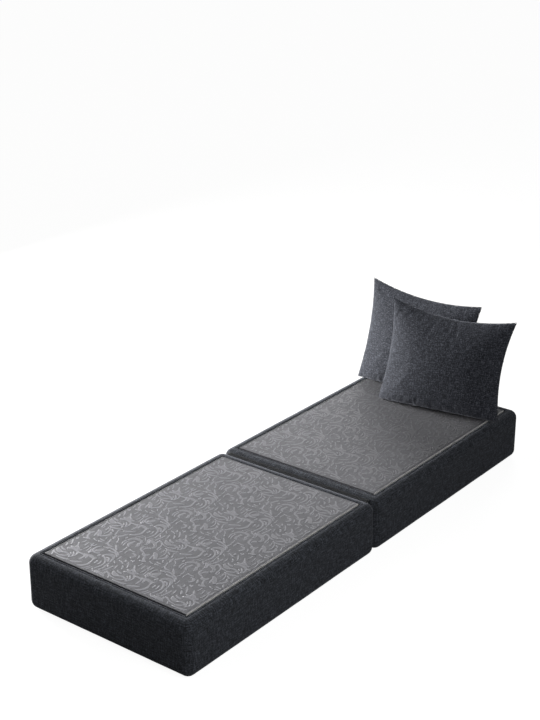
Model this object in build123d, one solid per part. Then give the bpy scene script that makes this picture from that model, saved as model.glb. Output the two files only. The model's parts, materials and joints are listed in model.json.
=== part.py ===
from build123d import *
import math
import os

# Fold-out ottoman guest bed: two covered foam blocks that fold face to face, and two loose pillows.
# Millimetres. X runs across the bed, Y from the foot end to the head end, Z up.
# The origin is on the floor, under the middle of the fold.

# Blocks
block_width = 700.0
block_length = 1000.0
block_height = 200.0
edge_radius = 32.0
seam_gap = 3.5
cloth = 1.2
ease = 0.3
base_foam_height = 145.0

# Border between the linen lip and the sleeping panel
lip_inset = 34.0
lip_corner_radius = 8.0
border_width = 12.0
border_depth = 6.0
flange_tape = 1.0
flange_under_panel = 10.0
welt_diameter = 6.0

# Sleeping panel
panel_rise = 1.0
panel_corner_radius = 4.0
panel_hem_radius = 2.0
ticking = 0.9

# Zip in the end face that meets the other block
zip_height = 95.0
zip_end_room = 62.5
zip_opening_height = 13.0
zip_tape = 0.8
zip_tape_width = 14.0
zip_tape_overrun = 8.0
zip_parting = 1.6
zip_tooth_pitch = 4.0
zip_tooth_width = 2.2
zip_tooth_reach = 1.2
zip_spine = 1.2
zip_chain_depth = 2.0
zip_stop_length = 5.0
slider_length = 14.0
slider_width = 10.0
slider_plate = 0.8
slider_post_length = 3.0
slider_post = 1.0
slider_clearance = 0.2
zip_pocket_room = 0.8

# Fold
fold_clearance = 1.0
hinge_strip_cloth = 1.2
hinge_strip_end_room = 2.0
hinge_strip_overlap_deg = 2.0

# Pillows
pillow_width = 510.0
pillow_height = 400.0
pillow_top_draw = 28.0
pillow_bottom_draw = 4.0
pillow_side_draw = 14.0
pillow_seam_land = 1.5
pillow_fullness = 2.3
rib_shares = (-1, -0.94, -0.8, -0.5, 0, 0.5, 0.8, 0.94, 1)
rib_point_shares = (-1, -0.784, -0.517, 0, 0.517, 0.784, 1)
pillow_zip_length = 380.0
pillow_zip_width = 12.0
pillow_zip_thickness = 2.0
pillow_zip_inset = 4.5

front_pillow_face_crown = 66.0
front_pillow_back_crown = 38.0
front_pillow_from_side = 200.0
front_pillow_from_head_end = 248.0
front_pillow_turn = 9.3
front_pillow_lean = 18.0

rear_pillow_face_crown = 46.0
rear_pillow_back_crown = 48.0
rear_pillow_from_side = 0.0
rear_pillow_from_head_end = 105.0
rear_pillow_turn = -2.0
rear_pillow_lean = 14.5

# Cutters run past the face that they open by this much
overrun = 5.0

# Places worked out from the sizes above
block_near_face = seam_gap / 2
block_middle = block_near_face + block_length / 2
lip_top = block_height
border_floor = block_height - border_depth
panel_top = block_height + panel_rise
panel_inset = lip_inset + border_width
fold_height = panel_top + fold_clearance
foam_top = block_height - cloth - ease


def plate(inset, corner_radius, bottom, top):
    """A flat plate that lies inside the block's outline by the inset."""
    outline = RectangleRounded(
        block_width - 2 * inset, block_length - 2 * inset, corner_radius
    )
    return Pos(0, block_middle, bottom) * extrude(outline, top - bottom)


def ring(outer_inset, inner_inset, inner_radius, bottom, top):
    """A flat ring with one width all round."""
    outer_radius = inner_radius + inner_inset - outer_inset
    outside = plate(outer_inset, outer_radius, bottom, top)
    return outside - plate(inner_inset, inner_radius, bottom - overrun, top + overrun)


def soft_block(inset, bottom, top):
    """A block with every edge rounded, inset from the block's outline."""
    height = top - bottom
    shape = Box(block_width - 2 * inset, block_length - 2 * inset, height)
    rounded = fillet(shape.edges(), edge_radius - inset)
    return Pos(0, block_middle, bottom + height / 2) * rounded


def bar(length, across, height, depth_from, depth_to, left, middle_height):
    """A bar behind the block's near face, placed by its depth from that face."""
    thickness = depth_to - depth_from
    middle = block_near_face + depth_from + thickness / 2
    shape = Box(length, thickness, height)
    return Pos(left + length / 2, middle, middle_height + across) * shape


# Zip places. Depths are counted from the block's near face
zip_opening_length = block_width - 2 * zip_end_room
tape_front = cloth
tape_back = tape_front + zip_tape
chain_back = tape_back + zip_chain_depth
slider_front = slider_clearance
slider_rear = chain_back + slider_clearance
slider_back = slider_rear + slider_plate
zip_left = -zip_opening_length / 2
zip_pocket_depth = slider_back + zip_pocket_room


def zip_opening():
    """The slot in the cover that shows the zip."""
    return bar(
        zip_opening_length, 0, zip_opening_height, -overrun, tape_front, zip_left, zip_height
    )


def zip_tapes():
    """Two woven tapes, sewn behind the slot, one above the chain and one below."""
    length = zip_opening_length + 2 * zip_tape_overrun
    left = zip_left - zip_tape_overrun
    across = zip_parting / 2 + zip_tape_width / 2
    tapes = Part()
    for side in (-1, 1):
        tapes += bar(
            length, side * across, zip_tape_width, tape_front, tape_back, left, zip_height
        )
    return tapes


def tooth_row(side):
    """One row of teeth on its spine, as a comb that is extruded through the chain's depth."""
    count = int((zip_opening_length - 2 * zip_stop_length) / zip_tooth_pitch)
    start = zip_left + zip_stop_length
    root = zip_parting / 2 + zip_tooth_reach
    outer = root + zip_spine
    tip = zip_parting / 2
    points = [(zip_left, side * outer), (zip_left, side * root)]
    for index in range(count):
        tooth = start + index * zip_tooth_pitch
        points.append((tooth, side * root))
        points.append((tooth, side * tip))
        points.append((tooth + zip_tooth_width, side * tip))
        points.append((tooth + zip_tooth_width, side * root))
    points.append((-zip_left, side * root))
    points.append((-zip_left, side * outer))
    comb = make_face(Polyline(*points, close=True))
    row = extrude(comb, zip_chain_depth / 2, both=True)
    middle = block_near_face + tape_back + zip_chain_depth / 2
    return Pos(0, middle, zip_height) * Rot(90, 0, 0) * row


def zip_chain():
    """Both rows of teeth, joined at each end by a stop."""
    height = zip_parting + 2 * (zip_tooth_reach + zip_spine)
    chain = tooth_row(-1) + tooth_row(1)
    for left in (zip_left, -zip_left - zip_stop_length):
        chain += bar(zip_stop_length, 0, height, tape_back, chain_back, left, zip_height)
    return chain


def zip_slider():
    """A slider without a puller: two plates on a post that parts the rows."""
    left = -zip_left - zip_stop_length - slider_clearance - slider_length
    front = bar(
        slider_length,
        0,
        slider_width,
        slider_front,
        slider_front + slider_plate,
        left,
        zip_height,
    )
    rear = bar(slider_length, 0, slider_width, slider_rear, slider_back, left, zip_height)
    post = bar(
        slider_post_length,
        0,
        slider_post,
        slider_front,
        slider_back,
        left + (slider_length - slider_post_length) / 2,
        zip_height,
    )
    return front + rear + post


def zip_pockets():
    """Room in the foam for the tapes and for the slider behind them."""
    tapes_height = zip_parting + 2 * (zip_tape_width + ease)
    tapes_length = zip_opening_length + 2 * (zip_tape_overrun + ease)
    shallow = bar(
        tapes_length, 0, tapes_height, -overrun, tape_back + ease, -tapes_length / 2, zip_height
    )
    deep = bar(
        zip_opening_length + 2 * ease,
        0,
        slider_width + 2 * zip_pocket_room,
        -overrun,
        zip_pocket_depth,
        zip_left - ease,
        zip_height,
    )
    return shallow + deep


def side_band():
    """The linen cover's sides, with its rounded edges, its lip and its lower turn-in."""
    skin = soft_block(0, 0, block_height) - soft_block(cloth, cloth, block_height - cloth)
    skin -= plate(lip_inset, lip_corner_radius, border_floor, lip_top + overrun)
    skin -= plate(lip_inset, lip_corner_radius, -overrun, cloth + overrun)
    turned_down = ring(
        lip_inset - cloth, lip_inset, lip_corner_radius, border_floor, block_height - cloth
    )
    return skin + turned_down - zip_opening()


def base_cloth():
    """The linen panel that closes the underside."""
    return plate(lip_inset, lip_corner_radius, 0, cloth)


def flange_ring():
    """The tape in the floor of the border, to which lip, welt and panel are sewn."""
    inner = panel_inset + flange_under_panel
    return ring(
        lip_inset - cloth, inner, lip_corner_radius, border_floor - flange_tape, border_floor
    )


def welt():
    """A covered cord that runs along the lip, all round the border."""
    radius = welt_diameter / 2
    inset = lip_inset + ease + radius
    height = border_floor + ease + radius
    corner_radius = lip_corner_radius - ease - radius
    path = RectangleRounded(
        block_width - 2 * inset, block_length - 2 * inset, corner_radius
    ).wire()
    path = Pos(0, block_middle, height) * path
    start = path @ 0
    section = Plane(origin=start, z_dir=path % 0) * Circle(radius)
    return sweep(section, path=path)


def foam():
    """The whole foam block, before it is split into its two layers."""
    block = soft_block(cloth + ease, cloth, foam_top)
    recess_inset = lip_inset - cloth - ease
    recess_radius = lip_corner_radius + cloth + ease
    block -= plate(recess_inset, recess_radius, border_floor, foam_top + overrun)
    block -= flange_ring()
    return block - zip_pockets()


def foam_layer(bottom, top):
    """The part of the foam between two heights."""
    layer = Box(block_width, block_length, top - bottom)
    return foam() & Pos(0, block_middle, (bottom + top) / 2) * layer


def panel_form(shrink):
    """The pad of the sleeping panel, with its top edge rolled over."""
    form = plate(
        panel_inset + shrink,
        panel_corner_radius - shrink,
        border_floor,
        panel_top - shrink,
    )
    rolled = form.faces().sort_by(Axis.Z)[-1].edges()
    return fillet(rolled, panel_hem_radius - shrink)


def top_panel():
    """The jacquard ticking, as a cap over its wadding."""
    return panel_form(0) - panel_form(ticking)


def panel_wadding():
    """The wadding under the ticking."""
    return panel_form(ticking)


def block_pieces():
    """Every piece of one block, made as the head block."""
    return {
        "base_foam": foam_layer(cloth, base_foam_height),
        "comfort_foam": foam_layer(base_foam_height, foam_top),
        "side_band": side_band(),
        "base_cloth": base_cloth(),
        "flange_tape": flange_ring(),
        "welt": welt(),
        "panel_wadding": panel_wadding(),
        "top_panel": top_panel(),
        "zip_tapes": zip_tapes(),
        "zip_chain": zip_chain(),
        "zip_slider": zip_slider(),
    }


def hinge_strip():
    """The strip that joins the blocks, curved round the fold's axis in the groove between them."""
    across = edge_radius + block_near_face
    down = edge_radius + fold_height - block_height
    outer = math.hypot(across, down) - edge_radius - ease
    inner = outer - hinge_strip_cloth
    half_turn = math.degrees(math.atan2(across, down)) + hinge_strip_overlap_deg
    length = block_width - 2 * (edge_radius + hinge_strip_end_room)

    def at(radius, turn):
        angle = math.radians(turn)
        return (radius * math.sin(angle), -radius * math.cos(angle))

    outline = Curve() + [
        ThreePointArc(at(outer, -half_turn), at(outer, 0), at(outer, half_turn)),
        Line(at(outer, half_turn), at(inner, half_turn)),
        ThreePointArc(at(inner, half_turn), at(inner, 0), at(inner, -half_turn)),
        Line(at(inner, -half_turn), at(outer, -half_turn)),
    ]
    section = make_face(outline)
    placed = Plane(origin=(-length / 2, 0, fold_height), x_dir=(0, 1, 0), z_dir=(1, 0, 0)) * section
    return extrude(placed, length)


def bulge(share):
    """How far out a rib lies at a share of its half length, as a share of the crown."""
    return (1 - abs(share) ** pillow_fullness) ** (1 / pillow_fullness)


def pillow_half(crown, side, trim):
    """Half of a pillow, from its seam's plane out to its crown. A trim makes it smaller all round."""
    half_width = pillow_width / 2 - trim
    height = pillow_height - 2 * trim
    ribs = []
    for place in rib_shares:
        low = trim + pillow_bottom_draw * (1 - place * place)
        high = trim + height - pillow_top_draw * (1 - place * place)
        points = []
        for share in rib_point_shares:
            across = place * (half_width - pillow_side_draw * (1 - share * share))
            out = side * crown * bulge(place) * bulge(share)
            up = low + (high - low) * (share + 1) / 2
            points.append(Vector(across, out, up))
        arcs = []
        for first in (0, 2, 4):
            arcs.append(Edge.make_three_point_arc(*points[first : first + 3]))
        ribs.append(Wire(arcs))
    skin = Shell.make_loft(ribs)
    faces = skin.faces()
    rim = []
    for edge in skin.edges():
        owners = [face for face in faces if any(edge.is_same(own) for own in face.edges())]
        if len(owners) == 1:
            rim.append(edge)
    return Solid(Shell(faces + [Face(Wire.combine(rim)[0])]))


def pillow_zip():
    """A closed zip between the two covers, just inside the lower seam."""
    middle = pillow_zip_inset + pillow_bottom_draw + pillow_zip_width / 2
    return Pos(0, 0, middle) * Box(pillow_zip_length, pillow_zip_thickness, pillow_zip_width)


def pillow_zip_room():
    """The slot for that zip in the filling, open to the lower seam."""
    height = pillow_zip_inset + pillow_bottom_draw + pillow_zip_width + ease
    room = Box(pillow_zip_length + 2 * ease, pillow_zip_thickness + 2 * ease, height)
    return Pos(0, 0, height / 2) * room


def pillow_pieces(face_crown, back_crown, from_side, from_head_end, turn, lean):
    """A pillow that stands on its lower edge, turned and leaning back, just clear of the panel."""
    lining = pillow_seam_land + ease
    face_filling = pillow_half(face_crown - cloth - ease, -1, lining) - pillow_zip_room()
    back_filling = pillow_half(back_crown - cloth - ease, 1, lining) - pillow_zip_room()
    face_cover = pillow_half(face_crown, -1, 0)
    face_cover -= pillow_half(face_crown - cloth, -1, pillow_seam_land)
    back_cover = pillow_half(back_crown, 1, 0)
    back_cover -= pillow_half(back_crown - cloth, 1, pillow_seam_land)
    pieces = {
        "face_cover": face_cover,
        "back_cover": back_cover,
        "filling": Compound([face_filling.solid(), back_filling.solid()]),
        "zip": pillow_zip(),
    }
    left = from_side - block_width / 2
    along = block_length - from_head_end
    corner = Pos(left, along, 0) * Rot(0, 0, turn) * Pos(pillow_width / 2, 0, 0)
    placed = {name: corner * Rot(-lean, 0, 0) * piece for name, piece in pieces.items()}
    lowest = min(piece.bounding_box().min.Z for piece in placed.values())
    lift = Pos(0, 0, panel_top + ease - lowest)
    return {name: lift * piece for name, piece in placed.items()}


def main():
    """Write one file for each piece."""
    parts = {}
    for name, piece in block_pieces().items():
        parts["head_" + name] = piece
        parts["foot_" + name] = mirror(piece, Plane.XZ)
    parts["hinge_strip"] = hinge_strip()
    front = pillow_pieces(
        front_pillow_face_crown,
        front_pillow_back_crown,
        front_pillow_from_side,
        front_pillow_from_head_end,
        front_pillow_turn,
        front_pillow_lean,
    )
    rear = pillow_pieces(
        rear_pillow_face_crown,
        rear_pillow_back_crown,
        rear_pillow_from_side,
        rear_pillow_from_head_end,
        rear_pillow_turn,
        rear_pillow_lean,
    )
    for name, piece in front.items():
        parts["front_pillow_" + name] = piece
    for name, piece in rear.items():
        parts["rear_pillow_" + name] = piece
    os.makedirs("parts", exist_ok=True)
    for name, piece in parts.items():
        export_step(piece, "parts/" + name + ".step")
        print(name, round(piece.volume), "mm3")


if __name__ == "__main__":
    main()
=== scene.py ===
import json
import math

import bmesh
import bpy
from mathutils import Matrix, Vector, noise
from mathutils.kdtree import KDTree


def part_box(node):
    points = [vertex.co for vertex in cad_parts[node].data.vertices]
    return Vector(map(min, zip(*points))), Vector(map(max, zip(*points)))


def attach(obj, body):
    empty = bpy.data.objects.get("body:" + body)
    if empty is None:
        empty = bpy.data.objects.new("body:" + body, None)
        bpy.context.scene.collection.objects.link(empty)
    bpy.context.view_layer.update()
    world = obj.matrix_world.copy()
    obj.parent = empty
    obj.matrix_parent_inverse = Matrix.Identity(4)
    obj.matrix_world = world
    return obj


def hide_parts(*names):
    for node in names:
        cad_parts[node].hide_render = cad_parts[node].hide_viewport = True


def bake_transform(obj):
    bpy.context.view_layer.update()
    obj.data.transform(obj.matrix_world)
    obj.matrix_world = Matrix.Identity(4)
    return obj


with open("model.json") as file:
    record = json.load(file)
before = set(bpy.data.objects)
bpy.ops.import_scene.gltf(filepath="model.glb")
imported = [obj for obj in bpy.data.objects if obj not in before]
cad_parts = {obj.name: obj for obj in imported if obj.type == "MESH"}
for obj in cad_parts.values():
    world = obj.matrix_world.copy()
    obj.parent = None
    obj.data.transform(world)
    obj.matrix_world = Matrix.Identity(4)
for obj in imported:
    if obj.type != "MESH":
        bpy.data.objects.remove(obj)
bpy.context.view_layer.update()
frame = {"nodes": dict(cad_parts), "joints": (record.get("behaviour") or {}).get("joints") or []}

bl_info = {
    "name": "Fold-out Ottoman Guest Bed",
    "version": (1, 0, 0),
    "blender": (4, 5, 0),
    "location": "3D View > Sidebar > Guest Bed",
    "description": "Dresses the two blocks, the sleeping panels, the zips and the pillows",
    "category": "Object",
}

BLOCKS = ("head", "foot")
CLOTH_MAP = "cloth"


def linear(hex_colour):
    """An sRGB hex colour as linear red, green, blue and alpha."""
    values = []
    for start in (1, 3, 5):
        share = int(hex_colour[start : start + 2], 16) / 255
        values.append(share / 12.92 if share <= 0.04045 else ((share + 0.055) / 1.055) ** 2.4)
    return (*values, 1.0)


def length_setting(name, description, default):
    return bpy.props.FloatProperty(
        name=name, description=description, default=default, precision=5, unit="LENGTH"
    )


def colour_setting(name, description, default):
    return bpy.props.FloatVectorProperty(
        name=name, description=description, default=linear(default), size=4, subtype="COLOR"
    )


class BedSizes(bpy.types.PropertyGroup):
    """Sizes of the bed's soft forms and their detail."""

    edge_radius: length_setting("Edge radius", "Rounding of the foam blocks' edges", 0.032)
    lip_inset: length_setting("Lip inset", "From a block's side to its linen lip", 0.034)
    lip_corner: length_setting("Lip corner", "Corner radius of the lip's outline", 0.008)
    cloth: length_setting("Cloth", "Thickness of the linen cover", 0.0012)
    slack: length_setting("Slack", "How far the linen sinks between its tight places", 0.0012)
    hem_roll: length_setting("Hem roll", "Radius of the sleeping panel's rolled hem", 0.0022)
    binding: length_setting("Binding", "How far the pale binding laps over the panel's sides", 0.0014)
    hem_width: length_setting("Hem width", "From the panel's edge to its hem stitching", 0.007)
    panel_crown: length_setting("Panel crown", "Rise of the panel's middle over its hem", 0.0004)
    repeat_across: length_setting("Repeat across", "The damask's repeat across the bed", 0.249)
    repeat_along: length_setting("Repeat along", "The damask's repeat along the bed", 0.2505)
    figure_rise: length_setting("Figure rise", "How far the satin figure stands proud", 0.00022)
    # The figure's edge and line are coloured as well as shaped: painted shade on the sunk edge, and the
    # bright line a painted highlight along the raised rim.
    figure_edge: length_setting("Figure edge", "Width of the pressed edge round the figure", 0.0014)
    figure_line: length_setting("Figure line", "Width of the bright line round the figure", 0.0013)
    figure_fill: length_setting("Figure fill", "Width added to every stroke of the figure", 0.0006)
    welt_radius: length_setting("Welt radius", "Radius of the covered cord", 0.003)
    stitch_pitch: length_setting("Stitch pitch", "From one stitch to the next", 0.0042)
    stitch_length: length_setting("Stitch length", "Length of a stitch that shows", 0.003)
    thread_radius: length_setting("Thread radius", "Radius of the sewing thread", 0.0003)
    pillow_width: length_setting("Pillow width", "Between a pillow's side corners", 0.51)
    pillow_height: length_setting("Pillow height", "Between its top and bottom corners", 0.4)
    pucker_depth: length_setting("Pucker depth", "Depth of the gathers along a pillow seam", 0.0032)
    pucker_pitch: length_setting("Pucker pitch", "From one gather to the next", 0.048)
    seam_radius: length_setting("Seam radius", "Radius of the pillow's closed seam", 0.0011)


class BedColours(bpy.types.PropertyGroup):
    """Colours of the bed's cloths, foams and trims."""

    linen_deep: colour_setting("Linen, deep", "Darkest yarns of the cover", "#1e1f22")
    linen: colour_setting("Linen", "Main yarn of the cover", "#393c41")
    linen_fleck: colour_setting("Linen, fleck", "Lightest yarns of the cover", "#5c6069")
    pillow_deep: colour_setting("Pillow linen, deep", "Darkest yarns of the pillows", "#1d1f23")
    pillow: colour_setting("Pillow linen", "Main yarn of the pillows", "#32343b")
    pillow_fleck: colour_setting("Pillow linen, fleck", "Lightest pillow yarns", "#686b74")
    ticking: colour_setting("Ticking", "Ground of the sleeping panels", "#6b6b6f")
    figure: colour_setting("Figure", "Satin figure of the sleeping panels", "#9d9da4")
    # The binding's near white is partly its own colour and partly a painted highlight, where the light
    # catches the panel's rolled hem.
    hem: colour_setting("Hem", "Binding at the sleeping panels' edges", "#dfdedb")
    tape: colour_setting("Tape", "Black tapes of border, hinge and zips", "#1d1e20")
    base_foam: colour_setting("Base foam", "Firm foam of the blocks", "#b9b7ae")
    comfort_foam: colour_setting("Comfort foam", "Soft foam of the blocks", "#dcd9cf")
    nylon: colour_setting("Nylon", "Teeth of the zips", "#1b1b1d")
    slider: colour_setting("Slider", "Painted zinc of the zips' sliders", "#2a2b2e")
    floor: colour_setting("Floor", "Studio floor", "#8f8f8e")


def sizes():
    return bpy.context.scene.bed_sizes


def colour(name):
    return tuple(getattr(bpy.context.scene.bed_colours, name))


def tinted(shade, factor):
    """A colour made lighter or darker by a factor."""
    return tuple(min(1.0, value * factor) for value in shade[:3]) + (1.0,)


def add(tree, kind, inputs=None, stops=(), **settings):
    """Add a node with its settings, and the stops of a colour ramp as (place, colour).

    An input is given a value, a socket to be fed from, or a node, whose first output in use feeds it.
    """
    node = tree.nodes.new(kind)
    for name, value in settings.items():
        setattr(node, name, value)
    for socket, value in (inputs or {}).items():
        if isinstance(value, bpy.types.Node):
            value = next(output for output in value.outputs if output.enabled)
        if isinstance(value, bpy.types.NodeSocket):
            tree.links.new(value, node.inputs[socket])
        else:
            node.inputs[socket].default_value = value
    if stops:
        elements = node.color_ramp.elements
        while len(elements) < len(stops):
            elements.new(0.5)
        for element, (place, shade) in zip(elements, stops):
            element.position = place
            element.color = shade
    return node


# Materials


def empty_tree(owner):
    """The node tree of a material or a world, cleared."""
    owner.use_nodes = True
    owner.node_tree.nodes.clear()
    return owner.node_tree


def start_material(name, on_cloth=False):
    """A new material, its tree, and metres in the piece's own space or along its cloth's threads."""
    made = bpy.data.materials.new(name)
    tree = empty_tree(made)
    if on_cloth:
        return made, tree, add(tree, "ShaderNodeUVMap", uv_map=CLOTH_MAP).outputs["UV"]
    return made, tree, add(tree, "ShaderNodeTexCoord").outputs["Object"]


def surface(made, inputs):
    """Close a material with its surface, from the shader's own inputs."""
    shader = add(made.node_tree, "ShaderNodeBsdfPrincipled", inputs)
    add(made.node_tree, "ShaderNodeOutputMaterial", {"Surface": shader})
    return made


def woven_linen(name, shades, yarn, slub, grain, sheen, on_cloth=True):
    """Linen look woven from mixed polyester yarns, with slubs that run both ways.

    Piece-dyed yarns of unlike shades give the heather. Real yarns lie about 1 mm apart, too fine to show
    from across a room, so the yarn pitch is drawn coarser. Loose fibre ends give it a soft sheen.
    yarn is that pitch, slub a thick place's length and grain the heather's, all in metres.
    """
    made, tree, place = start_material(name, on_cloth)
    threads = []
    for scale in ((1 / yarn, 1 / slub, 1 / yarn), (1 / slub, 1 / yarn, 1 / slub)):
        run = add(tree, "ShaderNodeMapping", {"Vector": place, "Scale": scale})
        uneven = {"Vector": run, "Scale": 1.0, "Detail": 3.0, "Roughness": 0.65}
        threads.append(add(tree, "ShaderNodeTexNoise", uneven))
    split = add(tree, "ShaderNodeSeparateXYZ", {"Vector": place})
    waves = []
    for axis in ("X", "Y"):
        turn = {0: split.outputs[axis], 1: math.pi / yarn}
        turned = add(tree, "ShaderNodeMath", turn, operation="MULTIPLY")
        waves.append(add(tree, "ShaderNodeMath", {0: turned}, operation="SINE"))
    crossing = add(tree, "ShaderNodeMath", {0: waves[0], 1: waves[1]}, operation="MULTIPLY")
    over = add(tree, "ShaderNodeMath", {0: crossing, 1: 0.5, 2: 0.5}, operation="MULTIPLY_ADD")
    weave = add(tree, "ShaderNodeMix", {"Factor": over, "A": threads[0], "B": threads[1]})
    flecks = {"Vector": place, "Scale": 1 / grain, "Detail": 2.0, "Roughness": 0.7}
    heather = add(tree, "ShaderNodeTexNoise", flecks)
    mixed = add(tree, "ShaderNodeMix", {"Factor": 0.34, "A": weave, "B": heather})
    stops = [(at, colour(shade)) for at, shade in zip((0.4, 0.5, 0.6), shades)]
    relief = {"Height": mixed, "Strength": 0.5, "Distance": 0.0012}
    looks = {
        "Base Color": add(tree, "ShaderNodeValToRGB", {"Fac": mixed}, stops=stops),
        "Normal": add(tree, "ShaderNodeBump", relief),
        "Roughness": 0.92,
        "Specular IOR Level": 0.2,
        "Sheen Weight": sheen,
        "Sheen Roughness": 0.45,
        "Sheen Tint": linear("#c9ccd6"),
    }
    return surface(made, looks)


def figure_fade_and_painted_shadow(tree, place):
    """How far the figure fades out and the pillows' painted shadow lies on the panel: more towards the
    head end's right corner.
    """
    way = add(tree, "ShaderNodeVectorMath", {0: place, 1: (0.8, 1.0, 0.0)}, operation="DOT_PRODUCT")
    share = add(tree, "ShaderNodeMapRange", {"Value": way, "From Min": -1.25, "From Max": 0.85})
    gone = ((0.0, 0.0), (0.4, 0.32), (0.66, 0.5), (0.82, 0.75), (0.93, 1.0))
    stops = [(at, (grey, grey, grey, 1.0)) for at, grey in gone]
    return add(tree, "ShaderNodeValToRGB", {"Fac": share}, stops=stops)


def hatching(tree, place, pressed):
    """Fine curved lines of satin in the ground, which repeat with the damask, as a factor.

    Across and along the cloth, the place is turned round two circles, so that the noise repeats.
    """
    split = add(tree, "ShaderNodeSeparateXYZ", {"Vector": place})
    turned = []
    for axis, repeat in (("X", sizes().repeat_across), ("Y", sizes().repeat_along)):
        way = {0: split.outputs[axis], 1: 2 * math.pi / repeat}
        angle = add(tree, "ShaderNodeMath", way, operation="MULTIPLY")
        turned += [add(tree, "ShaderNodeMath", {0: angle}, operation=kind) for kind in ("COSINE", "SINE")]
    circle = add(tree, "ShaderNodeCombineXYZ", dict(enumerate(turned[:3])))
    fields = []
    for offset in (0.0, 7.3):
        apart = add(tree, "ShaderNodeVectorMath", {0: circle, 1: (offset, offset, offset)})
        cloudy = {"Vector": apart, "W": turned[3], "Scale": 1.0, "Detail": 1.0}
        fields.append(add(tree, "ShaderNodeTexNoise", cloudy, noise_dimensions="4D"))
    bands = add(tree, "ShaderNodeMath", {0: fields[0], 1: 150.0}, operation="MULTIPLY")
    combed = add(tree, "ShaderNodeMath", {0: bands}, operation="SINE")
    thin = add(tree, "ShaderNodeMapRange", {"Value": combed, "From Min": 0.2, "From Max": 0.95})
    patches = add(tree, "ShaderNodeMapRange", {"Value": fields[1], "From Min": 0.47, "From Max": 0.6})
    both = add(tree, "ShaderNodeMath", {0: thin, 1: patches}, operation="MULTIPLY")
    # The lines fade out where the figure does, under the pillows' painted shadow.
    left_over = add(tree, "ShaderNodeMath", {0: 1.0, 1: pressed}, operation="SUBTRACT")
    return add(tree, "ShaderNodeMath", {0: both, 1: left_over}, operation="MULTIPLY")


def ticking_cloth(name, shade, fade, hatch, roughness, sheen):
    """Jacquard ticking of polyester and viscose, pressed flat after weaving.

    The ground is a matt twill. The figure floats over it as satin, so it is smoother and lighter. The
    twill's 0.5 mm ribs are drawn at 2.4 mm. Towards the pillows' end the figure fades out, and the cloth
    is darkened there with painted shadow of the pillows.
    """
    made, tree, place = start_material(name)
    slanted = {"Rotation": (0, 0, math.radians(58)), "Scale": (1 / 0.0024, 1 / 0.03, 1)}
    twill = add(tree, "ShaderNodeMapping", {"Vector": place, **slanted})
    uneven = {"Vector": twill, "Scale": 1.0, "Detail": 2.0, "Roughness": 0.6}
    ribs = add(tree, "ShaderNodeTexNoise", uneven)
    cloudy = add(tree, "ShaderNodeTexNoise", {"Vector": place, "Scale": 1 / 0.09, "Detail": 3.0})
    base = colour(shade)
    stops = [(0.35, tinted(base, 0.86)), (0.5, base), (0.65, tinted(base, 1.12))]
    toned = add(tree, "ShaderNodeValToRGB", {"Fac": ribs}, stops=stops)
    stops = [(0.35, (0.94, 0.94, 0.95, 1.0)), (0.65, (1.0, 1.0, 1.0, 1.0))]
    patchy = add(tree, "ShaderNodeValToRGB", {"Fac": cloudy}, stops=stops)
    dimmed = {"data_type": "RGBA", "blend_type": "MULTIPLY"}
    result = add(tree, "ShaderNodeMix", {"Factor": 1.0, "A": toned, "B": patchy}, **dimmed)
    # pressed holds where the figure fades out and where the pillows' shadow is painted on the cloth.
    if hatch or fade:
        pressed = figure_fade_and_painted_shadow(tree, place)
    if hatch:
        # Painted shadow of the pillows: the ground is darkened down to 0.6 towards the head end's right
        # corner.
        pillow_shadow_span = {"Value": pressed, "From Min": 0.6, "To Min": 1.0, "To Max": 0.6}
        painted_pillow_shadow = add(tree, "ShaderNodeMapRange", pillow_shadow_span)
        result = add(tree, "ShaderNodeMix", {"Factor": 1.0, "A": result, "B": painted_pillow_shadow}, **dimmed)
        lines = {"Factor": hatching(tree, place, pressed), "A": result, "B": tinted(base, 1.7)}
        result = add(tree, "ShaderNodeMix", lines, data_type="RGBA")
    if fade:
        ground = colour("ticking")
        # Painted shade and highlight by height: the sunk edge takes the ground darkened to 0.8, the
        # raised rim the full figure colour.
        proud = add(tree, "ShaderNodeAttribute", attribute_name="proud").outputs["Fac"]
        painted_relief_light = {"Factor": proud, "A": tinted(ground, 0.8), "B": result}
        result = add(tree, "ShaderNodeMix", painted_relief_light, data_type="RGBA")
        # The figure fades into the ground darkened to 0.6, which is painted shadow of the pillows.
        faded_into_painted_shadow = {"Factor": pressed, "A": result, "B": tinted(ground, 0.6)}
        result = add(tree, "ShaderNodeMix", faded_into_painted_shadow, data_type="RGBA")
    looks = {
        "Base Color": result,
        "Normal": add(tree, "ShaderNodeBump", {"Height": ribs, "Strength": 0.25, "Distance": 0.0004}),
        "Roughness": roughness,
        "Specular IOR Level": 0.3,
        "Sheen Weight": sheen,
        "Sheen Roughness": 0.4,
        "Sheen Tint": linear("#e6e6e6"),
    }
    return surface(made, looks)


def ribbed_tape(name):
    """Polyester tape, woven with a rib of about 1 mm across it, which keeps it dull and nearly black."""
    made, tree, place = start_material(name)
    wavy = {"Vector": place, "Scale": 1 / 0.003, "Distortion": 0.6}
    ribs = add(tree, "ShaderNodeTexWave", wavy, bands_direction="X").outputs["Fac"]
    fuzz = add(tree, "ShaderNodeTexNoise", {"Vector": place, "Scale": 1 / 0.002, "Detail": 2.0})
    stops = [(0.35, colour("tape")), (0.7, tinted(colour("tape"), 2.2))]
    looks = {
        "Base Color": add(tree, "ShaderNodeValToRGB", {"Fac": fuzz}, stops=stops),
        "Normal": add(tree, "ShaderNodeBump", {"Height": ribs, "Strength": 0.5, "Distance": 0.0003}),
        "Roughness": 0.85,
        "Specular IOR Level": 0.2,
    }
    return surface(made, looks)


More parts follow.
